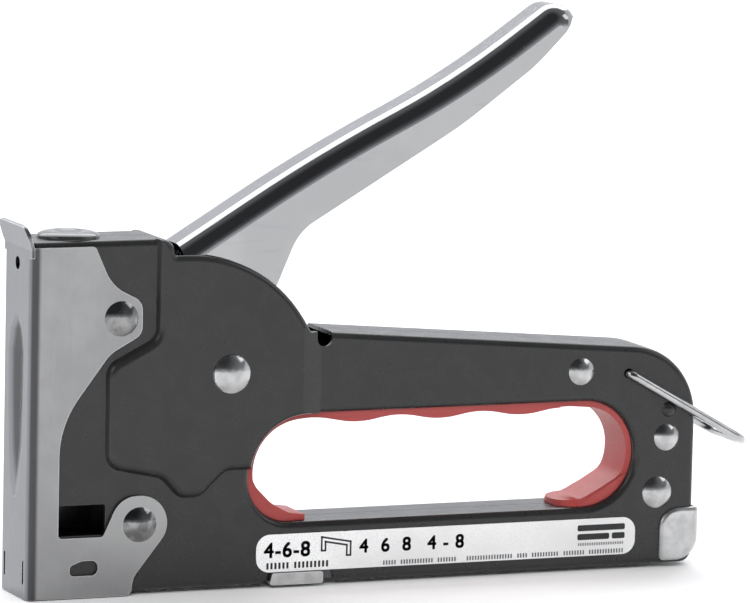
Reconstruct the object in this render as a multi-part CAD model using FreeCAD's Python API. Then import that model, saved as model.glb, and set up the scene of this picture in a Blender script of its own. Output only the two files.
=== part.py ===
import FreeCAD, Part
import math
import os

V = FreeCAD.Vector

# Staple gun for thin staples. Millimetres. While it is modelled, X runs from
# the front face of the nose to the rear, Y across with 0 on the seam between
# the two shells, and Z up from the bottom of the nose. At the end everything
# moves along X, so that the origin is under the middle of the whole tool.

# ---- driving sizes --------------------------------------------------------
SHEET = 0.8                 # steel sheet of the shells and the nose plate
GAP = 0.3                   # room between parts that move past each other
HALF = 7.45                 # half width over the shells
NOSE_HALF = HALF + SHEET    # half width over the nose plate
RAISED = 9.05               # half width over the pressed-out lever housing
INSIDE = HALF - SHEET       # half width inside the shells
BASE = 0.6                  # height of the shells' lower edge above the nose
REAR = 150.4                # rear face of the shells
BOX_TOP = 73.7              # top of the front box
ALL = 40.0                  # more than the width of the whole tool

PIVOT = (43.8, 45.4)        # lever pivot, x and z
NOSE_EAR_TOP = (19.7, 57.6)
NOSE_EAR_LOW = (24.4, 14.7)
REAR_RIVETS = ((123.4, 42.7, 2.9), (143.6, 27.9, 2.9), (141.7, 16.1, 3.4))
SHANK = 2.0                 # radius of the rivet shanks
PIVOT_SHANK = 2.5

LEVER_HALF = 7.0            # half width over the lever's cheeks
LEVER_SHEET = 1.2
LIFTER_REACH = 29.0         # pivot to the tip that lifts the plunger
LIFTER_DROP = 19.0          # degrees that the lifter hangs below level at rest
LIFTER_TIP = 2.2            # radius of that tip
SPRING_X = 10.5             # axis of the main spring

STAPLE_HALF = 5.7           # half the crown of a staple
STAPLE_WIRE = 0.75
STAPLE_TOP = 9.95           # crown of the staples when they are loaded
BLADE = (2.3, 3.3)          # x of the driver blade's two faces

BAIL_PIN = (134.4, 41.9)
BAIL_REACH = 31.6           # bail pivot to the cross wire
BAIL_WIRE = 0.9             # radius of the wire
BAIL_HALF = 8.7             # half width between the centres of the bail's legs
BAIL_ANGLE = 29.6           # degrees that the resting bail points below level

# ---- outlines in the XZ plane: corners as (x, z, radius) ------------------
BODY = [
    (0.95, BASE, 0), (REAR, BASE, 2.5), (REAR, 46.5, 15.5), (61.5, 53.5, 0.6),
    (51.8, 70.4, 30.0), (31.2, 70.4, 0.4), (31.2, BOX_TOP, 2.8), (0.95, BOX_TOP, 0),
]
OPENING = [(48.7, 13.5, 9.3), (136.2, 13.5, 11.3), (136.2, 36.2, 11.3), (48.7, 36.2, 12.8)]
HOUSING = [
    (27.5, 80, 0), (27.5, 53.5, 3), (16.8, 48, 4), (16.8, 26.6, 4), (29, 24, 3), (33, 19.7, 3.5),
    (37.8, 19.7, 3.5), (43.2, 25, 3), (64.2, 25, 0), (64.2, 80, 0),
]
HOUSING_SLOPE = [1, 1, 1, 1, 1, 1, 1, 1, 4.5, 0]
HOUSING_WALL = [0.45, 0.45, 0.45, 0.45, 0.45, 0.45, 0.45, 0.45, 0.15, 0]
NOSE_SIDE = [
    (0, 0, 0), (22.9, 0, 1.5), (22.9, 3.4, 5), (30.4, 12.9, 5.4), (30.4, 20.7, 5.9), (20.2, 20.7, 5.5),
    (16.4, 12.5, 0.9), (6.7, 12.5, 0.8), (6.7, 36.0, 20), (17.4, 50.4, 8), (24.3, 54.2, 2.5),
    (24.3, 61.0, 3), (17.6, 64.3, 9), (13.9, 72.6, 0.9), (0, 72.6, 0),
]
LEVER_TOP = [(62.9, 90.0, 380), (94.5, 105.6, 190), (115.6, 120.5, 5), (122.2, 119.4, 4.5)]
LEVER_SIDE = [(33.4, 72.0, 0)] + LEVER_TOP + [
    (121.0, 112.4, 0), (115.5, 111.7, 0), (110.6, 107.2, 20), (95.0, 95.7, 100), (58.9, 74.3, 11),
    (53.4, 61.5, 2), (51.8, 50.0, 3), (51.8, 37.4, 8), (35.8, 37.4, 8), (35.8, 58, 6),
]


# ---- small tools ----------------------------------------------------------
def unit(a, b):
    """Direction in the plane from point a to point b."""
    span = math.hypot(b[0] - a[0], b[1] - a[1])
    return ((b[0] - a[0]) / span, (b[1] - a[1]) / span)


def corner(before, here, after):
    """Start, middle and end of the arc that rounds one corner."""
    a = unit(here, before)
    b = unit(here, after)
    half = math.acos(max(-1.0, min(1.0, a[0] * b[0] + a[1] * b[1]))) / 2
    back = here[2] / math.tan(half)
    middle = unit((0, 0), (a[0] + b[0], a[1] + b[1]))
    depth = here[2] / math.sin(half) - here[2]
    return (
        (here[0] + a[0] * back, here[1] + a[1] * back),
        (here[0] + middle[0] * depth, here[1] + middle[1] * depth),
        (here[0] + b[0] * back, here[1] + b[1] * back),
    )


def run_of_edges(corners, lift, closed=True):
    """Lines and arcs along the corners; lift turns (x, z) into a point."""
    count = len(corners)
    pieces = []
    for i, here in enumerate(corners):
        end = not closed and i in (0, count - 1)
        if here[2] > 0 and not end:
            pieces.append(corner(corners[i - 1], here, corners[(i + 1) % count]))
        else:
            pieces.append((here, None, here))
    edges = []
    for i, (start, middle, finish) in enumerate(pieces):
        if middle:
            edges.append(Part.Arc(lift(start), lift(middle), lift(finish)).toShape())
        if i == count - 1 and not closed:
            break
        following = pieces[(i + 1) % count][0]
        if math.dist(finish[:2], following[:2]) > 1e-4:
            edges.append(Part.makeLine(lift(finish), lift(following)))
    return edges


def outline(corners, y=0.0):
    """Closed wire at one y."""
    return Part.Wire(run_of_edges(corners, lambda p: V(p[0], y, p[1])))


def plate(corners, y0, y1):
    """Solid of one outline between two y."""
    return Part.Face(outline(corners, y0)).extrude(V(0, y1 - y0, 0))


def inset(corners, gaps):
    """Outline with side i, which follows corner i, moved inward by gaps[i]."""
    count = len(corners)
    if not isinstance(gaps, (list, tuple)):
        gaps = [gaps] * count
    area = sum(
        corners[i][0] * corners[(i + 1) % count][1] - corners[(i + 1) % count][0] * corners[i][1]
        for i in range(count)
    )
    turn = 1 if area > 0 else -1
    moved = []
    for i, here in enumerate(corners):
        a = unit(corners[i - 1], here)
        b = unit(here, corners[(i + 1) % count])
        gap_a = gaps[i - 1]
        gap_b = gaps[i]
        p = (here[0] - turn * a[1] * gap_a, here[1] + turn * a[0] * gap_a)
        q = (here[0] - turn * b[1] * gap_b, here[1] + turn * b[0] * gap_b)
        cross = a[0] * b[1] - a[1] * b[0]
        along = ((q[0] - p[0]) * b[1] - (q[1] - p[1]) * b[0]) / cross
        bulge = 1 if cross * turn > 0 else -1
        radius = max(here[2] - bulge * (gap_a + gap_b) / 2, 0.05) if here[2] > 0 else 0
        moved.append((p[0] + a[0] * along, p[1] + a[1] * along, radius))
    return moved


def block(x0, x1, y0, y1, z0, z1):
    return Part.makeBox(x1 - x0, y1 - y0, z1 - z0, V(x0, y0, z0))


def rod_y(x, z, radius, y0, y1):
    return Part.makeCylinder(radius, y1 - y0, V(x, y0, z), V(0, 1, 0))


def rod_x(z, radius, x0, x1):
    return Part.makeCylinder(radius, x1 - x0, V(x0, 0, z), V(1, 0, 0))


def rod_z(x, radius, z0, z1):
    return Part.makeCylinder(radius, z1 - z0, V(x, 0, z0), V(0, 0, 1))


def fuse(shapes):
    result = shapes[0]
    for shape in shapes[1:]:
        result = result.fuse(shape)
    return result.removeSplitter()


def mirrored(shape):
    return shape.mirror(V(0, 0, 0), V(0, 1, 0))


def edges_where(shape, test):
    """Edges whose middle and both ends pass the test."""
    found = []
    for edge in shape.Edges:
        first, last = edge.ParameterRange
        points = [edge.valueAt(first + (last - first) * s) for s in (0.02, 0.5, 0.98)]
        if all(test(p) for p in points):
            found.append(edge)
    return found


def edges_at(solid, x, half):
    """Edges of solid that lie at this x, at half on either side."""
    return edges_where(solid, lambda p: abs(p.x - x) < 1e-3 and abs(abs(p.y) - half) < 1e-3)


def rivet(x, z, head, y, rise=1.2, shank=SHANK):
    """Rivet with a low domed head on each side; y is where the heads sit."""
    crown = rise - 0.25
    ball = (head * head + crown * crown) / (2 * crown)
    button = Part.makeSphere(ball, V(x, y + rise - ball, z))
    button = button.common(rod_y(x, z, head, y, y + rise))
    return fuse([rod_y(x, z, shank, -y, y), button, mirrored(button)])


def coil(radius, wire, length, turns):
    """Round wire wound along Z from z = 0, measured over the wire."""
    height = length - 2 * wire
    helix = Part.makeHelix(height / turns, height, radius)
    start = Part.Wire(Part.makeCircle(wire, V(radius, 0, 0), V(0, 1, 0)))
    solid = Part.Wire(helix.Edges).makePipeShell([start], True, True)
    return solid.translated(V(0, 0, wire))


# ---- shells ---------------------------------------------------------------
def housing_block(drop):
    """The pressed-out lever housing, or with drop its inside."""
    foot = HOUSING
    crown = inset(HOUSING, HOUSING_SLOPE)
    if drop:
        foot = inset(foot, HOUSING_WALL)
        crown = inset(crown, HOUSING_WALL)
    wires = [outline(foot, HALF - drop), outline(crown, RAISED - drop)]
    whole = Part.makeLoft(wires, True, True).fuse(plate(foot, 0, HALF - drop))
    edge = edges_where(whole, lambda p: abs(p.y - RAISED + drop) < 1e-3)
    return whole.makeFillet(1.5 - drop, edge)


def rounded_slab(half):
    """Solid outline of the tool with its outer edges rounded."""
    slab = plate(BODY, 0, half).cut(plate(OPENING, -1, ALL))
    rim = edges_where(slab, lambda p: abs(p.y - half) < 1e-3 and p.z > BASE + 0.01)
    return slab.makeFillet(1.4, rim)


def plain_shell():
    """Stamped shell on the +Y side, before the window that only the other has."""
    outer = fuse([rounded_slab(HALF), housing_block(0).common(rounded_slab(RAISED))])
    room = housing_block(SHEET)
    hollow = plate(inset(BODY, SHEET), -1, INSIDE).fuse(room.common(plate(inset(BODY, SHEET), -1, ALL)))
    hollow = hollow.cut(plate(inset(OPENING, -SHEET), -2, ALL))
    shell = outer.cut(hollow)

    open_top = [(31.15, 66, 0), (31.15, 80, 0), (66.7, 80, 0), (66.7, 50.5, 0), (60, 50.5, 0)]
    slot = room.fuse(block(0, REAR, -1, INSIDE, 0, 90)).common(plate(open_top, -1, ALL))
    keeper_notch = [(51.6, -1, 0), (52.9, 3.05, 0.8), (67.7, 3.05, 0.8), (68.8, -1, 0)]
    cuts = [
        slot,
        block(0, REAR - SHEET, -1, INSIDE, -1, 1.6),
        block(0, 1.8, -1, INSIDE, -1, BOX_TOP - SHEET),
        block(REAR - 3, REAR + 1, -1, 6.0, -1, 12.9),
        plate(keeper_notch, -1, ALL),
        rod_y(64.9, 51.9, 1.8, -1, ALL),
        block(63.1, 66.7, -1, ALL, 51.9, 60),
        rod_y(BAIL_PIN[0], BAIL_PIN[1], BAIL_WIRE + 0.2, -1, ALL),
        rod_y(PIVOT[0], PIVOT[1], PIVOT_SHANK, -1, ALL),
        rod_z(10.8, 5.6, 70, 80),
    ]
    for x, z in [NOSE_EAR_TOP, NOSE_EAR_LOW] + [r[:2] for r in REAR_RIVETS]:
        cuts.append(rod_y(x, z, SHANK, -1, ALL))
    for cut in cuts:
        shell = shell.cut(cut)
    ball = Part.makeSphere(1.95, V(144.0, HALF - 0.95, 33.9))
    return fuse([shell, ball.common(block(140, 148, INSIDE + 0.1, ALL, 30, 38))])


def windowed_shell():
    """Shell on the -Y side, with a window to see how many staples are left."""
    window = [(4, 12.8, 0.6), (17.1, 12.8, 0.6), (17.1, 19.2, 0.6), (4, 19.2, 0.6)]
    return mirrored(plain_shell().cut(plate(window, -1, ALL)))


# ---- nose -----------------------------------------------------------------
def groove(shift):
    """Boat-shaped groove pressed into the front of the nose plate."""
    stations = [(58.3, 0.3, 0.05), (55.0, 3.6, 0.75), (50.5, 4.8, 1.1), (40.0, 4.6, 1.05),
                (31.0, 4.0, 0.85), (25.5, 3.0, 0.45), (20.4, 0.8, 0.05)]
    wires = []
    for z, half, depth in stations:
        wide = half * (depth + 0.6) / depth
        tri = [V(shift - 0.6, -wide, z), V(shift + depth, 0, z), V(shift - 0.6, wide, z)]
        wires.append(Part.makePolygon(tri + tri[:1]))
    return Part.makeLoft(wires, True, True)


def nose_plate():
    solid = plate(NOSE_SIDE, -NOSE_HALF, NOSE_HALF)
    solid = solid.makeFillet(1.3, edges_at(solid, 0, NOSE_HALF))
    inner = block(SHEET, 60, -HALF, HALF, -1, 90)
    inner = inner.makeFillet(0.5, edges_at(inner, SHEET, HALF))
    pressed = groove(SHEET).common(block(-1, 4, -NOSE_HALF + 1, NOSE_HALF - 1, 20, 60))
    solid = fuse([solid.cut(inner), pressed]).cut(groove(0))

    lean = [(0.0, 70.5, 0), (SHEET, 70.5, 0), (SHEET, 72.4, 0),
            (-0.75, 77.2, 0), (-1.55, 77.0, 0), (0.0, 72.2, 0)]
    tab = plate(lean, -8.6, 8.6)
    front = Part.Wire(run_of_edges(
        [(-8.25, 60, 0), (8.25, 60, 0), (8.25, 72, 0.5), (8.6, 74, 1), (8.6, 77.2, 2.6), (-8.6, 77.2, 2.6),
         (-8.6, 74, 1), (-8.25, 72, 0.5)],
        lambda p: V(-3, p[0], p[1])))
    solid = fuse([solid, tab.common(Part.Face(front).extrude(V(8, 0, 0)))])

    bean = [(9.3, 4.6, 0.9), (15.4, 4.6, 1.4), (15.4, 7.7, 1.4), (11.9, 7.7, 1.2), (9.3, 6.7, 0.9)]
    cuts = [
        plate(bean, -ALL, ALL),
        rod_x(68.7, 1.4, -3, 3),
        rod_y(NOSE_EAR_TOP[0], NOSE_EAR_TOP[1], SHANK, -ALL, ALL),
        rod_y(NOSE_EAR_LOW[0], NOSE_EAR_LOW[1], SHANK, -ALL, ALL),
    ]
    for y in (-5.7, 5.7):
        cuts.append(block(-1, 3, y - 0.45, y + 0.45, 3.0, 8.0))
    for cut in cuts:
        solid = solid.cut(cut)
    return solid


def blade_guide():
    """Wear plate in front of the blade; the first staple stops against it."""
    return block(SHEET, BLADE[0] - 0.2, -INSIDE + 0.05, INSIDE - 0.05, 0.4, 19.6)


def driver_blade():
    return block(BLADE[0], BLADE[1], -5.6, 5.6, 0.4, 43.2)


def plunger():
    """Hammer under the main spring, with a window for the lifter's tip."""
    body = block(BLADE[1], 16.2, -6.2, 6.2, 31.0, 43.2)
    tip_z = PIVOT[1] - LIFTER_REACH * math.sin(math.radians(LIFTER_DROP))
    room = LIFTER_TIP + GAP
    slack = room + 0.2
    window = block(PIVOT[0] - LIFTER_REACH - room, 20, -2 - GAP, 2 + GAP, tip_z - slack, tip_z + slack)
    return body.makeFillet(0.8, edges_at(body, 16.2, 6.2)).cut(window)


def spring_cap():
    dome = rod_z(10.8, 6.5, BOX_TOP, BOX_TOP + 1.3)
    dome = dome.makeFillet(1.1, edges_where(dome, lambda p: p.z > BOX_TOP + 1.2))
    return fuse([dome, rod_z(10.8, 5.6, BOX_TOP - SHEET, BOX_TOP)])


def spring_guide():
    pin = rod_z(SPRING_X, 2.6, 61.2, BOX_TOP - SHEET)
    return pin.makeFillet(0.8, edges_where(pin, lambda p: p.z < 61.3))


def main_spring():
    return coil(4.85, 0.75, BOX_TOP - SHEET - 43.2, 6.5).translated(V(SPRING_X, 0, 43.2))


def bumper():
    return block(4.2, 15.8, -5, 5, 27.6, 30.8)


def bumper_bracket():
    """Bent plate across the shells that carries the bumper."""
    side = block(4.0, 16.0, INSIDE - SHEET, INSIDE, 20.5, 27.6)
    return fuse([block(4.0, 16.0, -INSIDE, INSIDE, 26.4, 27.6), side, mirrored(side)])


# ---- lever ----------------------------------------------------------------
def lever():
    """Chrome channel: one web along the top, two cheeks, closed at the tip."""
    solid = plate(LEVER_SIDE, -LEVER_HALF, LEVER_HALF)
    top = [(30.0, 69.93, 0)] + LEVER_TOP + [(117.0, 89.0, 0), (60.0, 20.0, 0), (30.0, 20.0, 0)]
    inner = inset(top, [LEVER_SHEET] * 5 + [0] * 3)
    hollow = plate(inner, -LEVER_HALF + LEVER_SHEET, LEVER_HALF - LEVER_SHEET)
    solid = round_top(solid, LEVER_HALF, 4.2)
    hollow = round_top(hollow, LEVER_HALF - LEVER_SHEET, 3.0)
    under_tip = [(104, 98, 0), (104, 102.2, 0), (110.6, 107.0, 14), (118.3, 114.8, 3), (120.0, 117.4, 0),
                 (127, 118.2, 0), (127, 98, 0)]
    solid = solid.cut(hollow).cut(plate(under_tip, -ALL, ALL))
    solid = solid.cut(rod_y(PIVOT[0], PIVOT[1], PIVOT_SHANK + 0.1, -ALL, ALL))
    return solid.cut(rod_y(44.6, 60.0, 1.5, -ALL, ALL))


def round_top(solid, half, radius):
    """Round the two long edges over the top and round the tip."""

    def over_top(p):
        above = p.z > 69 + (p.x - 30) * 0.55 - 2 or p.x > 120.5
        return abs(abs(p.y) - half) < 1e-3 and above

    return solid.makeFillet(radius, edges_where(solid, over_top))


def lifter_arm():
    """Bell crank between the cheeks; its front tip lifts the plunger."""
    drop = math.radians(LIFTER_DROP)
    tip = (PIVOT[0] - LIFTER_REACH * math.cos(drop), PIVOT[1] - LIFTER_REACH * math.sin(drop))
    along = (math.cos(drop), math.sin(drop))
    beside = (-along[1], along[0])

    def at(forward, up, radius):
        return (tip[0] + along[0] * forward + beside[0] * up,
                tip[1] + along[1] * forward + beside[1] * up, radius)

    arm = [
        at(-LIFTER_TIP, -LIFTER_TIP, 2.1), at(-LIFTER_TIP, LIFTER_TIP, 2.1), at(18, 3.4, 6),
        (40.6, 63.5, 3.5), (48.4, 63.5, 3.5), (50.2, 47.0, 6), (47.5, 38.6, 5), (40.5, 38.6, 6),
        at(12, -3.0, 8),
    ]
    solid = plate(arm, -2, 2)
    solid = solid.cut(rod_y(PIVOT[0], PIVOT[1], PIVOT_SHANK + 0.1, -ALL, ALL))
    return solid.cut(rod_y(44.6, 60.0, 1.5, -ALL, ALL))


def lifter_pin():
    return rod_y(44.6, 60.0, 1.5, -LEVER_HALF - 0.4, LEVER_HALF + 0.4)


def pivot_bushes():
    """Two spacer bushes beside the lifter arm."""
    bush = rod_y(PIVOT[0], PIVOT[1], 4.0, 2.0, LEVER_HALF - LEVER_SHEET)
    bush = bush.cut(rod_y(PIVOT[0], PIVOT[1], PIVOT_SHANK + 0.1, -ALL, ALL))
    return Part.makeCompound([bush, mirrored(bush)])


def return_spring():
    """Torsion spring round the bush on the -Y side."""
    wire = 0.45
    turns = 2.5
    wound = coil(4.75, wire, 3.2, turns)
    leg = Part.makeCylinder(wire - 0.02, 9.5, V(-4.75, 0.2, 3.2 - wire), V(0, -1, 0))
    spring = fuse([wound, leg])
    spring.rotate(V(0, 0, 0), V(1, 0, 0), 90)
    return spring.translated(V(PIVOT[0], -2.3, PIVOT[1]))


# ---- grip, bail, trim -----------------------------------------------------
def grip_liner():
    """Soft lining of the finger opening, waved for the fingers."""
    pitch = 9.35
    wave = [(120.1 - pitch * i, 33.4 if i % 2 else 35.2, 20) for i in range(7)]
    free = [(50.2, 14.7, 8.1), (135.1, 14.7, 10.1), (135.1, 34.0, 9.5)] + wave + [(50.2, 33.6, 11.0)]
    liner = plate(inset(OPENING, 0.05), -6, 6).cut(plate(free, -7, 7))
    return liner.cut(block(62, 118.5, -7, 7, 10, 20))


def bail():
    """Bent wire loop that hooks over the squeezed lever."""
    route = [(0, -5.9, 0), (0, -BAIL_HALF, 1.5), (BAIL_REACH, -BAIL_HALF, 3.5),
             (BAIL_REACH, BAIL_HALF, 3.5), (0, BAIL_HALF, 1.5), (0, 5.9, 0)]
    path = Part.Wire(run_of_edges(route, lambda p: V(p[0], p[1], 0), closed=False))
    end = Part.Wire(Part.makeCircle(BAIL_WIRE, V(0, -5.9, 0), V(0, 1, 0)))
    wire = path.makePipeShell([end], True, True)
    wire.rotate(V(0, 0, 0), V(0, 1, 0), BAIL_ANGLE)
    return wire.translated(V(BAIL_PIN[0], 0, BAIL_PIN[1]))


def label():
    sheet = [(50.5, 3.15, 3), (136.8, 3.15, 3), (136.8, 11.1, 3), (50.5, 11.1, 3)]
    return plate(sheet, -HALF - 0.15, -HALF)


# ---- magazine -------------------------------------------------------------
def magazine_track():
    """Fixed channel over the staples, with ears at both ends for rivets."""
    half = 6.55
    wall = 0.7
    front = 4.6
    rear = 148.6
    side = block(front, rear, half - wall, half, 1.2, 12.0)
    ear = [(19.0, 11.0, 0), (29.5, 11.0, 0), (29.5, 18.4, 3), (19.0, 18.4, 3)]
    back_ear = [(137.0, 11.0, 0), (146.4, 11.0, 0), (146.4, 20.0, 3), (137.0, 20.0, 3)]
    cheek = fuse([side, plate(ear, half - wall, half), plate(back_ear, half - wall, half)])
    track = fuse([block(front, rear, -half, half, 11.3, 12.0), cheek, mirrored(cheek)])
    for x, z in (NOSE_EAR_LOW, REAR_RIVETS[2][:2]):
        track = track.cut(rod_y(x, z, SHANK, -ALL, ALL))
    return track


def keeper_clip():
    """Clip under the magazine, bent up through the notch in the shells."""
    foot = [(53.3, 0.5, 0.6), (65.3, 0.5, 0.6), (65.3, 3.0, 0.6), (53.9, 3.0, 0.6)]
    clip = plate(foot, -NOSE_HALF, NOSE_HALF)
    return clip.cut(block(50, 70, -HALF, HALF, 1.2, 5))


def magazine_rail():
    """Rail that carries the staples and slides out at the rear."""
    wall = 0.7
    half = STAPLE_HALF - STAPLE_WIRE - GAP - 0.05
    rail = block(5.2, 150.6, -half, half, 1.5, STAPLE_TOP - STAPLE_WIRE - GAP - 0.05)
    rail = rail.cut(block(5.2 + wall, 160, -half + wall, half - wall, 1.5 + wall, 20))
    return rail.cut(rod_x(5.2, 1.0, 0, 8))


def rail_tab():
    """Pull tab on the end of the rail, folded round the sides of the shells."""
    side = [(142.4, 1.3, 1.3), (151.3, 1.3, 5.0), (151.3, 12.7, 0.6), (142.4, 12.7, 4.4)]
    half = HALF + 0.9
    tab = plate(side, -half, half)
    tab = tab.makeFillet(0.9, edges_at(tab, 151.3, half))
    return tab.cut(block(140, 150.6, -half + 0.7, half - 0.7, 0, 20))


def pusher_rod():
    return rod_x(5.2, 1.0, 5.2, 150.6)


def pusher():
    """Follower that pushes the staples forward along the rail."""
    front = 52.6
    body = fuse([
        block(front, front + 11.5, -3.65, 3.65, 2.5, 9.2),
        block(front, front + 9.0, -5.4, 5.4, 9.2, 10.9),
    ])
    return body.cut(rod_x(5.2, 1.2, 40, 70))


def pusher_spring():
    """Long soft spring behind the pusher, wound round the rod."""
    start = 64.3
    spring = coil(1.85, 0.3, 150.4 - start, 30)
    spring.rotate(V(0, 0, 0), V(0, 1, 0), 90)
    return spring.translated(V(start, 0, 5.2))


def staple_strip():
    """One stick of staples, glued side by side."""
    front = BLADE[1] + GAP
    rear = 52.3
    stick = block(front, rear, -STAPLE_HALF, STAPLE_HALF, STAPLE_TOP - 8, STAPLE_TOP)
    top = edges_where(stick, lambda p: abs(p.z - STAPLE_TOP) < 1e-3 and abs(abs(p.y) - STAPLE_HALF) < 1e-3)
    stick = stick.makeFillet(0.5, top)
    half = STAPLE_HALF - STAPLE_WIRE
    return stick.cut(block(0, 60, -half, half, 0, STAPLE_TOP - STAPLE_WIRE))


# ---- fasteners ------------------------------------------------------------
def rear_rivets():
    return Part.makeCompound([rivet(x, z, head, HALF, 1.0) for x, z, head in REAR_RIVETS])


def rear_spacers():
    """Tubes that hold the shells apart round the rear rivets."""
    tubes = []
    for x, z, _ in REAR_RIVETS:
        half = INSIDE if z > 20 else 5.85
        tubes.append(rod_y(x, z, 3.0, -half, half).cut(rod_y(x, z, SHANK, -ALL, ALL)))
    return Part.makeCompound(tubes)


def build():
    return {
        "right_shell": plain_shell(),
        "left_shell": windowed_shell(),
        "nose_plate": nose_plate(),
        "blade_guide": blade_guide(),
        "spring_cap": spring_cap(),
        "spring_guide": spring_guide(),
        "main_spring": main_spring(),
        "plunger": plunger(),
        "driver_blade": driver_blade(),
        "bumper": bumper(),
        "bumper_bracket": bumper_bracket(),
        "lever": lever(),
        "lifter_arm": lifter_arm(),
        "lifter_pin": lifter_pin(),
        "pivot_bushes": pivot_bushes(),
        "pivot_rivet": rivet(PIVOT[0], PIVOT[1], 4.1, RAISED, 1.2, PIVOT_SHANK),
        "return_spring": return_spring(),
        "upper_nose_rivet": rivet(NOSE_EAR_TOP[0], NOSE_EAR_TOP[1], 3.65, NOSE_HALF, 1.1),
        "lower_nose_rivet": rivet(NOSE_EAR_LOW[0], NOSE_EAR_LOW[1], 3.65, NOSE_HALF, 1.1),
        "rear_rivets": rear_rivets(),
        "rear_spacers": rear_spacers(),
        "grip_liner": grip_liner(),
        "bail": bail(),
        "label": label(),
        "magazine_track": magazine_track(),
        "keeper_clip": keeper_clip(),
        "magazine_rail": magazine_rail(),
        "rail_tab": rail_tab(),
        "pusher_rod": pusher_rod(),
        "pusher": pusher(),
        "pusher_spring": pusher_spring(),
        "staple_strip": staple_strip(),
    }


def main():
    parts = build()
    whole = Part.makeCompound(list(parts.values())).optimalBoundingBox(False, False)
    middle = (whole.XMin + whole.XMax) / 2
    os.makedirs("parts", exist_ok=True)
    for name, shape in parts.items():
        moved = shape.translated(V(-middle, 0, 0))
        moved.exportStep("parts/" + name + ".step")
        print(name, len(moved.Solids), moved.isValid(), round(moved.Volume, 1))
    print("nose front at x =", round(-middle, 3), "size", whole)


main()
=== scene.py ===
import logging
import math
from collections.abc import Callable
from dataclasses import dataclass, field
from enum import Enum

import bpy
from mathutils import Matrix, Vector


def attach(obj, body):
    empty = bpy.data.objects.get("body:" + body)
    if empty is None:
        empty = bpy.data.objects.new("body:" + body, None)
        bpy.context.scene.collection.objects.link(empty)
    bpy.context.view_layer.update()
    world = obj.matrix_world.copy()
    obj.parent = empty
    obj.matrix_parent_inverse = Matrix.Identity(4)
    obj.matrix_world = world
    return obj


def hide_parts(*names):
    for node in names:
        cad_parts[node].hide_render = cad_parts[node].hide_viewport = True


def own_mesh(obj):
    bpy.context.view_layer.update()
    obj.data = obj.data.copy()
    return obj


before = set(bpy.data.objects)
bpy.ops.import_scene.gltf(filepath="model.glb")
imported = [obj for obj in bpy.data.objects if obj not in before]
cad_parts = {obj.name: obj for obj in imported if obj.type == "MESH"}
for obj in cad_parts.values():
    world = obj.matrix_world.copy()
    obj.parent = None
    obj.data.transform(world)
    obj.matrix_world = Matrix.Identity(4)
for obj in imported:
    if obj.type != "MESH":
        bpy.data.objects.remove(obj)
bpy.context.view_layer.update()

MM = 0.001
NOSE_X = -80.613  # x of the nose's front face, in millimetres
SAME = 1e-6  # places nearer than this are one place, in metres
CLOSE = 1e-5  # looser match, for places that an operation has moved, in metres
COAT_ROUGHNESS = 0.18
LOG = logging.getLogger("staple_gun")

Colour = tuple[float, float, float]
Spot = tuple[float, float, float]


def at(x: float, y: float, z: float) -> Vector:
    """Gives a place in the frame, in metres.

    Args:
        x: Millimetres back from the nose's front face.
        y: Millimetres from the seam between the shells.
        z: Millimetres above the bottom of the nose.

    Returns:
        The same place in the frame.
    """
    return Vector(((x + NOSE_X) * MM, y * MM, z * MM))


# ---- finishes -------------------------------------------------------------
class Grain(Enum):
    """How a surface's fine grain runs: the stretch of its pattern along X, Y and Z."""

    EVEN = (1.0, 1.0, 1.0)
    UPRIGHT = (1.0, 1.0, 0.04)
    LENGTHWISE = (0.05, 1.0, 1.0)


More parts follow.
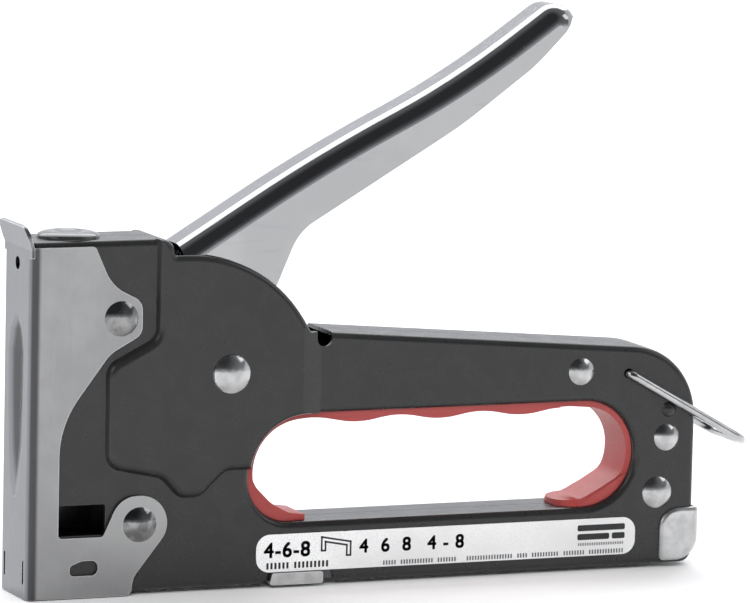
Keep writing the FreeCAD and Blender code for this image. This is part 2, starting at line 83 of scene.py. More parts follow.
@dataclass(frozen=True)
class Finish:
    """One surface finish, made as a node material.

    Attributes:
        slot: Material slot of the record; not used.
        colour: Colour of most of the surface.
        tone: Second colour that drifts through it.
        metallic: 0 for paint and plastic, 1 for bare metal.
        rough: Lowest and highest roughness.
        grain: Direction of the fine grain.
        size: Size of the grain, in millimetres.
        depth: Depth of the grain's relief, in millimetres.
        cloud: Size of the patches of tone, in millimetres.
        specks: Share of the surface that fine specks of the tone take.
        edge_wear_and_highlight: Lighter colour along edges, part wear and part painted highlight, or None.
        reach: How far from an edge the lighter edge colour goes, in millimetres.
        coat: Strength of a clear coat.
        anisotropic: Stretch of the highlights on brushed metal.
        scratches: Strength of long hair scratches in the roughness.
        face: Painted shade: a darker, bluish colour for the nose's front face, standing in for the shade that face
            takes, or None.
        fold_shade: Painted shade: a dark colour on the bends and the groove just behind that face.
        seam: Half width of the gap where two shells meet, in millimetres, or 0.
    """

    slot: str
    colour: Colour
    tone: Colour
    metallic: float
    rough: tuple[float, float]
    grain: Grain = Grain.EVEN
    size: float = 0.3
    depth: float = 0.01
    cloud: float = 12.0
    specks: float = 0.0
    edge_wear_and_highlight: Colour | None = None
    reach: float = 0.35
    coat: float = 0.0
    anisotropic: float = 0.0
    scratches: float = 0.0
    face: Colour | None = None
    fold_shade: Colour = (0.1, 0.1, 0.1)
    seam: float = 0.0

    def make(self, name: str) -> bpy.types.Material:
        """Builds the material.

        Args:
            name: Name of the material.

        Returns:
            The finished material.
        """
        material = bpy.data.materials.new(name)
        material.use_nodes = True
        graph = Graph(material)
        shader = graph.tree.nodes["Principled BSDF"]
        shader.inputs["Metallic"].default_value = self.metallic
        shader.inputs["Coat Weight"].default_value = self.coat
        shader.inputs["Coat Roughness"].default_value = COAT_ROUGHNESS
        shader.inputs["Anisotropic"].default_value = self.anisotropic

        fine = graph.noise(1 / (self.size * MM), self.grain.value, detail=4.0)
        clouds = graph.noise(1 / (self.cloud * MM), (1, 1, 1), detail=5.0)
        patches = graph.spread(clouds, 0.38, 0.62)
        colour = graph.mix(patches, self.colour, self.tone)
        if self.specks:
            dots = graph.noise(1 / (self.size * MM * 0.8), (1, 1, 1), detail=2.0)
            edge = 0.66 - 0.3 * self.specks
            colour = graph.mix(graph.spread(dots, edge, edge + 0.08), colour, self.tone)
        low, high = self.rough
        drift = graph.spread(clouds, 0.35, 0.7, to_high=0.35 * (high - low))
        roughness = graph.sum(graph.spread(fine, 0.3, 0.7, low, high), drift)
        if self.scratches:
            hairs = graph.noise(1 / (0.6 * MM), (0.03, 1.0, 0.35), detail=2.0)
            lines = graph.spread(hairs, 0.62, 0.68, to_high=self.scratches)
            roughness = graph.sum(roughness, lines)
        normal = graph.relief(fine, self.depth * MM)
        if self.seam:
            normal = graph.relief(graph.off_seam(self.seam * MM), self.seam * MM, normal)
        # Painted shade: a dark band on the bends and the groove just behind the nose's front face, then a darker,
        # bluish colour on the front face itself.
        if self.face:
            colour = graph.mix(graph.ahead_of(back=2.5, ahead=1.5), colour, self.fold_shade)
            colour = graph.mix(graph.ahead_of(back=0.6, ahead=0.15), colour, self.face)
        # Lightens the edges: part wear, part painted highlight along them.
        if self.edge_wear_and_highlight:
            edge = graph.edges(self.reach * MM, clouds)
            colour = graph.mix(edge, colour, self.edge_wear_and_highlight)
        graph.join(colour, shader.inputs["Base Color"])
        graph.join(roughness, shader.inputs["Roughness"])
        graph.join(normal, shader.inputs["Normal"])
        return material


@dataclass
class Graph:
    """Short ways to add shader nodes to one material.

    Attributes:
        material: Material whose nodes are added.
    """

    material: bpy.types.Material
    tree: bpy.types.NodeTree = field(init=False)
    places: bpy.types.NodeSocket = field(init=False)

    def __post_init__(self) -> None:
        """Adds the coordinates that every pattern reads."""
        self.tree = self.material.node_tree
        self.places = self.add("ShaderNodeTexCoord").outputs["Object"]

    def add(self, kind: str) -> bpy.types.Node:
        """Adds one node of this kind."""
        return self.tree.nodes.new(kind)

    def join(self, source: object, target: bpy.types.NodeSocket) -> None:
        """Links a socket to target, or sets target to a plain value.

        Args:
            source: An output socket, a number or a colour.
            target: The input socket.
        """
        if isinstance(source, bpy.types.NodeSocket):
            self.tree.links.new(source, target)
        elif isinstance(source, tuple):
            target.default_value = (*source, 1.0)
        else:
            target.default_value = source

    def noise(self, scale: float, stretch: Spot, detail: float) -> bpy.types.NodeSocket:
        """Adds a noise pattern.

        Args:
            scale: Patches in a metre.
            stretch: Factor on the pattern's scale along each axis.
            detail: How many finer layers it has.

        Returns:
            The pattern, around 0.5.
        """
        mapping = self.add("ShaderNodeMapping")
        mapping.inputs["Scale"].default_value = stretch
        self.join(self.places, mapping.inputs["Vector"])
        pattern = self.add("ShaderNodeTexNoise")
        pattern.inputs["Scale"].default_value = scale
        pattern.inputs["Detail"].default_value = detail
        self.join(mapping.outputs["Vector"], pattern.inputs["Vector"])
        return pattern.outputs["Fac"]

    def spread(self, value: object, low: float, high: float,
               to_low: float = 0.0, to_high: float = 1.0) -> bpy.types.NodeSocket:
        """Maps a range of a value smoothly to another range.

        Args:
            value: The value.
            low: Start of its range.
            high: End of its range.
            to_low: What the start becomes.
            to_high: What the end becomes.

        Returns:
            The mapped value.
        """
        node = self.add("ShaderNodeMapRange")
        node.interpolation_type = "SMOOTHSTEP"
        for name, number in zip(("From Min", "From Max", "To Min", "To Max"), (low, high, to_low, to_high)):
            node.inputs[name].default_value = number
        self.join(value, node.inputs["Value"])
        return node.outputs["Result"]

    def sum(self, one: object, other: object) -> bpy.types.NodeSocket:
        """Adds two values and keeps the sum between 0 and 1."""
        node = self.add("ShaderNodeMath")
        node.use_clamp = True
        self.join(one, node.inputs[0])
        self.join(other, node.inputs[1])
        return node.outputs[0]

    def times(self, one: object, other: object) -> bpy.types.NodeSocket:
        """Multiplies two values."""
        node = self.add("ShaderNodeMath")
        node.operation = "MULTIPLY"
        self.join(one, node.inputs[0])
        self.join(other, node.inputs[1])
        return node.outputs[0]

    def mix(self, factor: object, one: object, other: object) -> bpy.types.NodeSocket:
        """Mixes two colours by a factor."""
        node = self.add("ShaderNodeMix")
        node.data_type = "RGBA"
        self.join(factor, node.inputs[0])
        self.join(one, node.inputs[6])
        self.join(other, node.inputs[7])
        return node.outputs[2]

    def relief(self, height: object, depth: float, under: object = None) -> bpy.types.NodeSocket:
        """Turns a pattern into a bumped normal.

        Args:
            height: The pattern.
            depth: Metres from its low to its high places.
            under: Normal that it is added to, or None.

        Returns:
            The bumped normal.
        """
        node = self.add("ShaderNodeBump")
        node.inputs["Strength"].default_value = 0.6
        node.inputs["Distance"].default_value = depth
        self.join(height, node.inputs["Height"])
        if under is not None:
            self.join(under, node.inputs["Normal"])
        return node.outputs["Normal"]

    def coordinate(self, axis: str) -> bpy.types.NodeSocket:
        """Gives a place's X, Y or Z, in metres."""
        split = self.add("ShaderNodeSeparateXYZ")
        self.join(self.places, split.inputs[0])
        return split.outputs[axis]

    def off_seam(self, reach: float) -> bpy.types.NodeSocket:
        """Rises from 0 on the seam between the shells to 1 at this reach from it, in metres."""
        aside = self.add("ShaderNodeMath")
        aside.operation = "ABSOLUTE"
        self.join(self.coordinate("Y"), aside.inputs[0])
        return self.spread(aside.outputs[0], 0.0, reach)

    def ahead_of(self, back: float, ahead: float) -> bpy.types.NodeSocket:
        """Finds what lies towards the nose.

        Args:
            back: x behind which it gives 0, in millimetres.
            ahead: x in front of which it gives 1.

        Returns:
            The share, smooth between the two.
        """
        return self.spread(self.coordinate("X"), at(back, 0, 0).x, at(ahead, 0, 0).x)

    def edges(self, reach: float, clouds: object) -> bpy.types.NodeSocket:
        """Finds the edges of a piece, broken up by a pattern.

        Args:
            reach: How far from an edge it goes, in metres.
            clouds: Pattern that breaks it up.

        Returns:
            1 on an edge and 0 away from it.
        """
        rounded = self.add("ShaderNodeBevel")
        rounded.samples = 4
        rounded.inputs["Radius"].default_value = reach
        flat = self.add("ShaderNodeNewGeometry")
        turn = self.add("ShaderNodeVectorMath")
        turn.operation = "DOT_PRODUCT"
        self.join(rounded.outputs["Normal"], turn.inputs[0])
        self.join(flat.outputs["Normal"], turn.inputs[1])
        edge = self.spread(turn.outputs["Value"], 0.995, 0.9)
        return self.times(edge, self.spread(clouds, 0.35, 0.6, to_low=0.35))


FINISHES: dict[str, Finish] = {
    "shell_paint": Finish("shell_paint", (0.0135, 0.0135, 0.0138), (0.016, 0.016, 0.0164), 0.0, (0.24, 0.32),
                          size=4.0, depth=0.003, cloud=26, edge_wear_and_highlight=(0.05, 0.05, 0.05), reach=0.25, seam=0.35),
    "cap_enamel": Finish("shell_paint", (0.02, 0.02, 0.0205), (0.024, 0.024, 0.0245), 0.0, (0.12, 0.2),
                         size=0.5, depth=0.004, cloud=8, edge_wear_and_highlight=(0.08, 0.08, 0.08), reach=0.3, coat=0.4),
    "zinc_plate": Finish("zinc_plate", (0.36, 0.36, 0.36), (0.32, 0.32, 0.322), 1.0, (0.29, 0.38), Grain.UPRIGHT,
                         size=0.16, depth=0.004, cloud=14, edge_wear_and_highlight=(0.72, 0.72, 0.73), reach=0.3, anisotropic=0.3,
                         face=(0.225, 0.23, 0.242), fold_shade=(0.085, 0.085, 0.087)),
    "lever_chrome": Finish("lever_chrome", (0.39, 0.392, 0.395), (0.36, 0.362, 0.367), 1.0, (0.04, 0.09),
                           size=0.8, depth=0.0004, cloud=14, scratches=0.1),
    "nickel": Finish("nickel", (0.50, 0.50, 0.50), (0.40, 0.40, 0.40), 1.0, (0.08, 0.18),
                     size=1.3, depth=0.05, cloud=2.5, scratches=0.1),
    "dark_nickel": Finish("nickel", (0.29, 0.29, 0.29), (0.17, 0.17, 0.17), 1.0, (0.03, 0.1),
                          size=1.5, depth=0.06, cloud=2.5, scratches=0.1),
    "steel": Finish("steel", (0.20, 0.20, 0.205), (0.13, 0.13, 0.135), 1.0, (0.32, 0.5),
                    size=0.3, depth=0.006, cloud=5),
    "spring_steel": Finish("spring_steel", (0.20, 0.19, 0.185), (0.13, 0.12, 0.12), 1.0, (0.25, 0.4),
                           size=0.3, depth=0.004, cloud=4),
    "bail_wire": Finish("bail_wire", (0.50, 0.50, 0.50), (0.42, 0.42, 0.42), 1.0, (0.12, 0.24), Grain.LENGTHWISE,
                        size=0.25, depth=0.003, cloud=5, scratches=0.12),
    "liner_red": Finish("liner_red", (0.34, 0.040, 0.036), (0.38, 0.055, 0.05), 0.0, (0.36, 0.5),
                        size=0.35, depth=0.015, cloud=16),
    "bumper_rubber": Finish("bumper_rubber", (0.02, 0.02, 0.02), (0.035, 0.034, 0.033), 0.0, (0.65, 0.85),
                            size=0.4, depth=0.03, cloud=4),
    "tab_zinc": Finish("tab_zinc", (0.62, 0.62, 0.62), (0.53, 0.53, 0.53), 1.0, (0.28, 0.46),
                       size=0.5, depth=0.008, cloud=3, specks=0.2, edge_wear_and_highlight=(0.85, 0.85, 0.85), reach=0.3),
    # Painted shade: the magazine track's zinc, darkened for the shade inside the body that the window shows.
    "shaded_track_zinc": Finish("tab_zinc", (0.16, 0.16, 0.165), (0.11, 0.11, 0.115), 1.0, (0.4, 0.6),
                         size=0.4, depth=0.006, cloud=4),
    "pusher_plastic": Finish("pusher_plastic", (0.03, 0.03, 0.03), (0.045, 0.045, 0.045), 0.0, (0.4, 0.55),
                             size=0.3, depth=0.01, cloud=5),
    "staple_wire": Finish("staple_wire", (0.5, 0.5, 0.51), (0.4, 0.4, 0.41), 1.0, (0.25, 0.4),
                          size=0.3, depth=0.005, cloud=3),
    "label_paper": Finish("label_paper", (0.97, 0.97, 0.97), (0.74, 0.74, 0.74), 0.0, (0.45, 0.6),
                          size=0.34, depth=0.002, cloud=60, specks=0.45),
    "print_black": Finish("label_paper", (0.012, 0.012, 0.013), (0.02, 0.02, 0.02), 0.0, (0.4, 0.55),
                          size=0.2, depth=0.001, cloud=3),
    "print_grey": Finish("label_paper", (0.10, 0.10, 0.105), (0.14, 0.14, 0.14), 0.0, (0.4, 0.55),
                         size=0.2, depth=0.001, cloud=3),
}
MATERIALS: dict[str, bpy.types.Material] = {}


def material(name: str) -> bpy.types.Material:
    """Gives the material of a finish, made the first time it is asked for."""
    if name not in MATERIALS:
        MATERIALS[name] = FINISHES[name].make(name)
    return MATERIALS[name]


def dress_node(node: str, finish: str) -> None:
    """Gives a CAD node its finish.

    Args:
        node: Name of the node.
        finish: Name of the finish.
    """
    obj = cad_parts[node]
    for slot in obj.material_slots:
        slot.link = "OBJECT"
        slot.material = material(finish)
    if not obj.material_slots:
        obj.data.materials.append(material(finish))
    LOG.info("node %s gets %s", node, finish)


# ---- modelling bench ------------------------------------------------------
class Pick(Enum):
    """What a selection is made of."""

    VERT = "VERT"
    EDGE = "EDGE"
    FACE = "FACE"


def rest() -> None:
    """Leaves edit mode and deselects everything."""
    if bpy.context.object and bpy.context.object.mode != "OBJECT":
        bpy.ops.object.mode_set(mode="OBJECT")
    bpy.ops.object.select_all(action="DESELECT")


def seize(obj: bpy.types.Object) -> None:
    """Selects just this object and makes it active."""
    rest()
    obj.select_set(True)
    bpy.context.view_layer.objects.active = obj


def fix_place(obj: bpy.types.Object) -> None:
    """Puts the object's origin at the frame's origin, with its place in its mesh."""
    seize(obj)
    bpy.ops.object.transform_apply(location=True, rotation=True, scale=True)


def pick(obj: bpy.types.Object, kind: Pick, test: Callable[..., bool]) -> None:
    """Selects in edit mode the parts of a mesh that pass a test.

    Args:
        obj: The object.
        kind: Vertices, edges or faces.
        test: Takes a vertex's place, an edge's two ends, or a face's middle and normal.
    """
    seize(obj)
    bpy.ops.object.mode_set(mode="EDIT")
    bpy.ops.mesh.select_mode(type=kind.value)
    bpy.ops.mesh.select_all(action="DESELECT")
    bpy.ops.object.mode_set(mode="OBJECT")
    mesh = obj.data
    if kind is Pick.VERT:
        for vertex in mesh.vertices:
            vertex.select = test(vertex.co)
    elif kind is Pick.EDGE:
        for edge in mesh.edges:
            edge.select = test(*(mesh.vertices[i].co for i in edge.vertices))
    else:
        for face in mesh.polygons:
            face.select = test(face.center, face.normal)
    bpy.ops.object.mode_set(mode="EDIT")


def apply(obj: bpy.types.Object, kind: str, **settings: object) -> None:
    """Adds a modifier with these settings and applies it.

    Args:
        obj: The object.
        kind: Kind of the modifier.
        **settings: Its properties.
    """
    seize(obj)
    modifier = obj.modifiers.new(kind.lower(), kind)
    for name, value in settings.items():
        setattr(modifier, name, value)
    bpy.ops.object.modifier_apply(modifier=modifier.name)


def close_up(obj: bpy.types.Object, angle: float = 35.0) -> None:
    """Merges doubles, turns the faces outwards and smooths up to an angle in degrees."""
    seize(obj)
    bpy.ops.object.mode_set(mode="EDIT")
    bpy.ops.mesh.select_all(action="SELECT")
    bpy.ops.mesh.remove_doubles(threshold=SAME)
    bpy.ops.mesh.normals_make_consistent(inside=False)
    bpy.ops.object.mode_set(mode="OBJECT")
    bpy.ops.object.shade_smooth_by_angle(angle=math.radians(angle))


def join_all(parts: list[bpy.types.Object], name: str) -> bpy.types.Object:
    """Joins objects into one with this name."""
    rest()
    for part in parts:
        part.select_set(True)
    bpy.context.view_layer.objects.active = parts[0]
    bpy.ops.object.join()
    parts[0].name = name
    return parts[0]


def finish_piece(obj: bpy.types.Object, name: str, finish: str, body: str,
                 *nodes: str) -> bpy.types.Object:
    """Names, paints and attaches a new piece.

    Args:
        obj: The piece.
        name: Its name.
        finish: Name of its finish.
        body: CAD body that it moves with.
        *nodes: CAD nodes that it stands for.

    Returns:
        The piece.
    """
    rest()
    obj.name = name
    obj.data.name = name
    obj.data.materials.clear()
    obj.data.materials.append(material(finish))
    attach(obj, body)
    if nodes:
        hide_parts(*nodes)
    LOG.info("piece %s rides on %s", name, body)
    return obj


def box_piece(low: Vector, high: Vector) -> bpy.types.Object:
    """Adds a cube stretched between two corners, as a start for a piece."""
    rest()
    bpy.ops.mesh.primitive_cube_add(size=1, location=(low + high) / 2)
    obj = bpy.context.object
    obj.scale = high - low
    fix_place(obj)
    return obj


def copy_of_node(node: str) -> bpy.types.Object:
    """Copies a CAD node with its own mesh, merged, as a start for a piece."""
    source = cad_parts[node]
    obj = source.copy()
    obj.data = source.data.copy()
    for key in list(obj.keys()):
        del obj[key]
    obj.parent = None
    bpy.context.scene.collection.objects.link(obj)
    seize(obj)
    bpy.ops.object.mode_set(mode="EDIT")
    bpy.ops.mesh.select_all(action="SELECT")
    bpy.ops.mesh.customdata_custom_splitnormals_clear()
    bpy.ops.mesh.remove_doubles(threshold=SAME)
    bpy.ops.object.mode_set(mode="OBJECT")
    return obj


# ---- sub-assemblies -------------------------------------------------------
@dataclass
class Rivet:
    """A domed rivet through both shells.

    Attributes:
        name: Name of the piece.
        spot: x and z of its axis, in millimetres.
        head: Radius of its heads.
        base: Distance of the heads' undersides from the seam.
        rise: Height of the domes.
        shank: Radius of its shank.
        edge: Radius of the heads' edges.
    """

    name: str
    spot: tuple[float, float]
    head: float
    base: float
    rise: float
    shank: float
    edge: float = 0.16

    def build(self) -> bpy.types.Object:
        """Models one head from a ball, draws its shank to the middle and mirrors it.

        Returns:
            The rivet's mesh.
        """
        ball = (self.head ** 2 + self.rise ** 2) / (2 * self.rise)
        x, z = self.spot
        rest()
        bpy.ops.mesh.primitive_uv_sphere_add(
            segments=64, ring_count=96, radius=ball * MM, rotation=(math.pi / 2, 0, 0),
            location=at(x, -(self.base + self.rise - ball), z))
        obj = bpy.context.object
        fix_place(obj)
        bpy.ops.object.mode_set(mode="EDIT")
        bpy.ops.mesh.select_all(action="SELECT")
        bpy.ops.mesh.bisect(plane_co=at(x, -self.base, z), plane_no=(0, 1, 0), use_fill=True, clear_outer=True)
        rim = -self.base * MM
        pick(obj, Pick.FACE, lambda middle, normal: normal.y > 0.99 and abs(middle.y - rim) < SAME)
        bpy.ops.mesh.inset(thickness=(self.head - self.shank) * MM)
        bpy.ops.mesh.extrude_region_move(TRANSFORM_OT_translate={"value": (0, self.base * MM, 0)})
        bpy.ops.mesh.delete(type="FACE")
        slack = 0.05
        reach = (self.head - slack) * MM
        axis = at(x, 0, z)
        pick(obj, Pick.EDGE, lambda a, b: all(
            abs(p.y - rim) < SAME and math.hypot(p.x - axis.x, p.z - axis.z) > reach for p in (a, b)))
        bpy.ops.mesh.bevel(offset=self.edge * MM, segments=3, affect="EDGES")
        bpy.ops.object.mode_set(mode="OBJECT")
        apply(obj, "MIRROR", use_axis=(False, True, False), merge_threshold=CLOSE)
        close_up(obj)
        return obj


@dataclass
class Riveting:
    """The six rivets that hold the tool together.

    Attributes:
        nose: x and z of the two through the nose, in millimetres.
        pivot: x and z of the lever's.
        rear: x, z and head radius of the three at the rear.
    """

    nose: tuple[tuple[float, float], ...] = ((19.7, 57.6), (24.4, 14.7))
    pivot: tuple[float, float] = (43.8, 45.4)
    rear: tuple[tuple[float, float, float], ...] = ((123.4, 42.7, 2.9), (143.6, 27.9, 2.9), (141.7, 16.1, 3.4))

    def build(self) -> None:
        """Models and dresses every rivet."""
        upper, lower = self.nose
        fixed = Rivet("upper_nose_rivet_domed", upper, head=3.65, base=8.25, rise=1.1, shank=2.0)
        finish_piece(fixed.build(), fixed.name, "dark_nickel", "body", "upper_nose_rivet")
        fixed = Rivet("lower_nose_rivet_domed", lower, head=3.65, base=8.25, rise=1.1, shank=2.0)
        finish_piece(fixed.build(), fixed.name, "dark_nickel", "body", "lower_nose_rivet")
        fixed = Rivet("pivot_rivet_domed", self.pivot, head=4.1, base=9.05, rise=1.2, shank=2.5)
        finish_piece(fixed.build(), fixed.name, "nickel", "body", "pivot_rivet")
        heads = [Rivet("rear", (x, z), head, base=7.45, rise=1.0, shank=2.0).build()
                 for x, z, head in self.rear]
        finish_piece(join_all(heads, "rear"), "rear_rivets_domed", "nickel", "body", "rear_rivets")


@dataclass
class Coil:
    """A wound wire spring.

    Attributes:
        radius: Radius to the middle of the wire, in millimetres.
        wire: Radius of the wire.
        length: Length over the wire.
        turns: Number of whole turns.
    """

    radius: float
    wire: float
    length: float
    turns: int

    def build(self, foot: Vector, tilt: Spot = (0, 0, 0),
              sides: int = 12, steps: int = 28) -> bpy.types.Object:
        """Winds a ring of wire with the Screw modifier and caps its ends.

        Args:
            foot: Middle of the end that it starts from.
            tilt: Turn of the coil's axis from upright, in radians.
            sides: Sides of the wire's section.
            steps: Steps in a turn.

        Returns:
            The coil's mesh.
        """
        rest()
        bpy.ops.mesh.primitive_circle_add(
            vertices=sides, radius=self.wire * MM, location=(self.radius * MM, 0, self.wire * MM),
            rotation=(math.pi / 2, 0, 0))
        obj = bpy.context.object
        fix_place(obj)
        rise = (self.length - 2 * self.wire) / self.turns
        apply(obj, "SCREW", axis="Z", angle=2 * math.pi, screw_offset=rise * MM, iterations=self.turns,
              steps=steps, render_steps=steps)
        seize(obj)
        bpy.ops.object.mode_set(mode="EDIT")
        bpy.ops.mesh.select_mode(type="EDGE")
        bpy.ops.mesh.select_all(action="DESELECT")
        bpy.ops.mesh.select_non_manifold()
        bpy.ops.mesh.edge_face_add()
        bpy.ops.object.mode_set(mode="OBJECT")
        obj.rotation_euler = tilt
        obj.location = foot
        fix_place(obj)
        close_up(obj, 50)
        return obj


@dataclass
class Springs:
    """The two wound springs inside the tool.

    Attributes:
        drive: Spring that drives the plunger down.
        feed: Spring that pushes the staples forward.
        plunger_top: z of the drive spring's lower end, in millimetres.
        travel: How far the plunger squeezes it; not used.
    """

    drive: Coil = field(default_factory=lambda: Coil(radius=4.85, wire=0.75, length=29.7, turns=7))
    feed: Coil = field(default_factory=lambda: Coil(radius=1.85, wire=0.3, length=86.1, turns=30))
    plunger_top: float = 43.2
    travel: float = 17.0

    def build(self) -> None:
        """Winds the springs, dresses them and gives each its own mesh."""
        drive = self.drive.build(at(10.5, 0, self.plunger_top))
        finish_piece(drive, "main_spring_coil", "spring_steel", "body", "main_spring")
        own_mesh(drive)
        feed = self.feed.build(at(64.3, 0, 5.2), tilt=(0, math.pi / 2, 0), sides=8, steps=20)
        finish_piece(feed, "pusher_spring_coil", "spring_steel", "magazine", "pusher_spring")
        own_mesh(feed)


@dataclass
class StapleStick:
    """One stick of staples, each bent from its own wire.

    Attributes:
        front: x of the first staple, in millimetres.
        top: z of the crowns.
        half: Half width over the legs.
        wire: Thickness of the wire.
        leg: Length of the legs.
        count: Number of staples.
        gap: Gap between two staples.
        bend: Outer radius of the bends.
        soft: Width of the chamfer along the wire.
    """

    front: float = 3.6
    top: float = 9.95
    half: float = 5.7
    wire: float = 0.75
    leg: float = 8.0
    count: int = 64
    gap: float = 0.02
    bend: float = 0.5
    soft: float = 0.14

    def build(self) -> None:
        """Bends one staple and lines up its copies."""
        low = at(self.front, -self.half, self.top - self.wire)
        high = at(self.front + self.wire - self.gap, self.half, self.top)
        obj = box_piece(low, high)
        inner = (self.half - self.wire) * MM
        for side in (-1, 1):
            bpy.ops.object.mode_set(mode="EDIT")
            bpy.ops.mesh.select_all(action="SELECT")
            bpy.ops.mesh.bisect(plane_co=(0, side * inner, 0), plane_no=(0, 1, 0))
            bpy.ops.object.mode_set(mode="OBJECT")
        pick(obj, Pick.FACE, lambda middle, normal: normal.z < -0.9 and abs(middle.y) > inner)
        bpy.ops.mesh.extrude_region_move(TRANSFORM_OT_translate={"value": (0, 0, -(self.leg - self.wire) * MM)})
        slack = 0.01
        edge = (self.top - slack) * MM
        outside = (self.half - slack) * MM
        pick(obj, Pick.EDGE, lambda a, b: all(p.z > edge and abs(p.y) > outside for p in (a, b)))
        bpy.ops.mesh.bevel(offset=self.bend * MM, segments=4, affect="EDGES")
        pick(obj, Pick.EDGE, lambda a, b: abs(a.x - b.x) < SAME)
        bpy.ops.mesh.bevel(offset=self.soft * MM, segments=1, affect="EDGES", clamp_overlap=True)
        bpy.ops.object.mode_set(mode="OBJECT")
        apply(obj, "ARRAY", count=self.count, use_relative_offset=False, use_constant_offset=True,
              constant_offset_displace=(self.wire * MM, 0, 0), use_merge_vertices=False)
        bpy.ops.object.shade_smooth_by_angle(angle=math.radians(50))
        finish_piece(obj, "staple_stick_wires", "staple_wire", "body", "staple_strip")


@dataclass
class GripLiner:
    """Soft red lining of the finger opening, crowned across its width.

    Attributes:
        start: x of the front end of the opening's middle line, in millimetres.
        end: x of its rear end.
        middle: z of the middle line.
        crown: Share of the width that the inner face keeps.
        round: Radius of its inner edges, in millimetres.
        tongue: x of the end of the rear tongue.
        cut: x of the end of the CAD liner's rear tongue.
        tip: Radius of the tongue's end.
        half: Half of the CAD liner's width.
        fills: x and z where the inner face is drawn in at the low corners, and how far along x and z.
        grip: How near to such a place a vertex is taken.
        fade: How far around it the drawing in fades out.
    """

    start: float = 66.0
    end: float = 126.0
    middle: float = 24.0
    crown: float = 0.9
    round: float = 1.1
    tongue: float = 119.9
    cut: float = 118.5
    tip: float = 4.0
    half: float = 6.0
    fills: tuple[tuple[float, float, float, float], ...] = (
        (53.4, 16.4, 1.1, 1.0), (129.8, 15.9, -0.3, 1.4))
    grip: float = 1.6
    fade: float = 6.5

    def inward(self, place: Vector) -> Vector:
        """Gives the way from a place to the opening's middle line."""
        near = min(max(place.x, at(self.start, 0, 0).x), at(self.end, 0, 0).x)
        return Vector((near - place.x, 0, self.middle * MM - place.z))

    def build(self) -> None:
        """Draws the inner edges together, fills the low corners, and rounds the edges and the rear tongue."""
        obj = copy_of_node("grip_liner")
        seize(obj)
        bpy.ops.object.mode_set(mode="EDIT")
        bpy.ops.mesh.select_all(action="SELECT")
        bpy.ops.mesh.dissolve_limited(angle_limit=math.radians(0.5))
        bpy.ops.object.mode_set(mode="OBJECT")
        mesh = obj.data
        ridge = {i for face in mesh.polygons for i in face.vertices
                 if abs(face.normal.y) < 0.5 and face.normal.dot(self.inward(face.center)) > 0}
        places = {(round(mesh.vertices[i].co.x, 6), round(mesh.vertices[i].co.z, 6)) for i in ridge}

        def inner(p: Vector) -> bool:
            """Tells whether a place is on the inner face."""
            return (round(p.x, 6), round(p.z, 6)) in places

        pick(obj, Pick.VERT, inner)
        bpy.ops.transform.resize(value=(1, self.crown, 1), center_override=(0, 0, 0), orient_type="GLOBAL")
        bpy.ops.mesh.hide(unselected=True)
        for x, z, along, up in self.fills:
            corner = at(x, 0, z)
            near = self.grip * MM
            pick(obj, Pick.VERT, lambda p: inner(p) and math.hypot(p.x - corner.x, p.z - corner.z) < near)
            bpy.ops.transform.translate(value=(along * MM, 0, up * MM), use_proportional_edit=True,
                                        proportional_edit_falloff="SMOOTH", proportional_size=self.fade * MM)
        bpy.ops.mesh.reveal(select=False)
        end = at(self.cut, 0, 0).x
        pick(obj, Pick.VERT, lambda p: abs(p.x - end) < CLOSE)
        bpy.ops.transform.translate(value=((self.tongue - self.cut) * MM, 0, 0))
        end = at(self.tongue, 0, 0).x
        rise = 0.5 * MM
        pick(obj, Pick.EDGE, lambda a, b: all(abs(p.x - end) < CLOSE for p in (a, b)) and abs(a.z - b.z) > rise)
        bpy.ops.mesh.bevel(offset=self.tip * MM, segments=6, affect="EDGES", clamp_overlap=True)
        half = self.half * self.crown * MM
        pick(obj, Pick.EDGE, lambda a, b: all(abs(abs(p.y) - half) < 2 * CLOSE for p in (a, b)) and a.y * b.y > 0)
        bpy.ops.mesh.bevel(offset=self.round * MM, segments=5, affect="EDGES", clamp_overlap=True)
        bpy.ops.object.mode_set(mode="OBJECT")
        close_up(obj, 60)
        finish_piece(obj, "grip_liner_crowned", "liner_red", "body", "grip_liner")


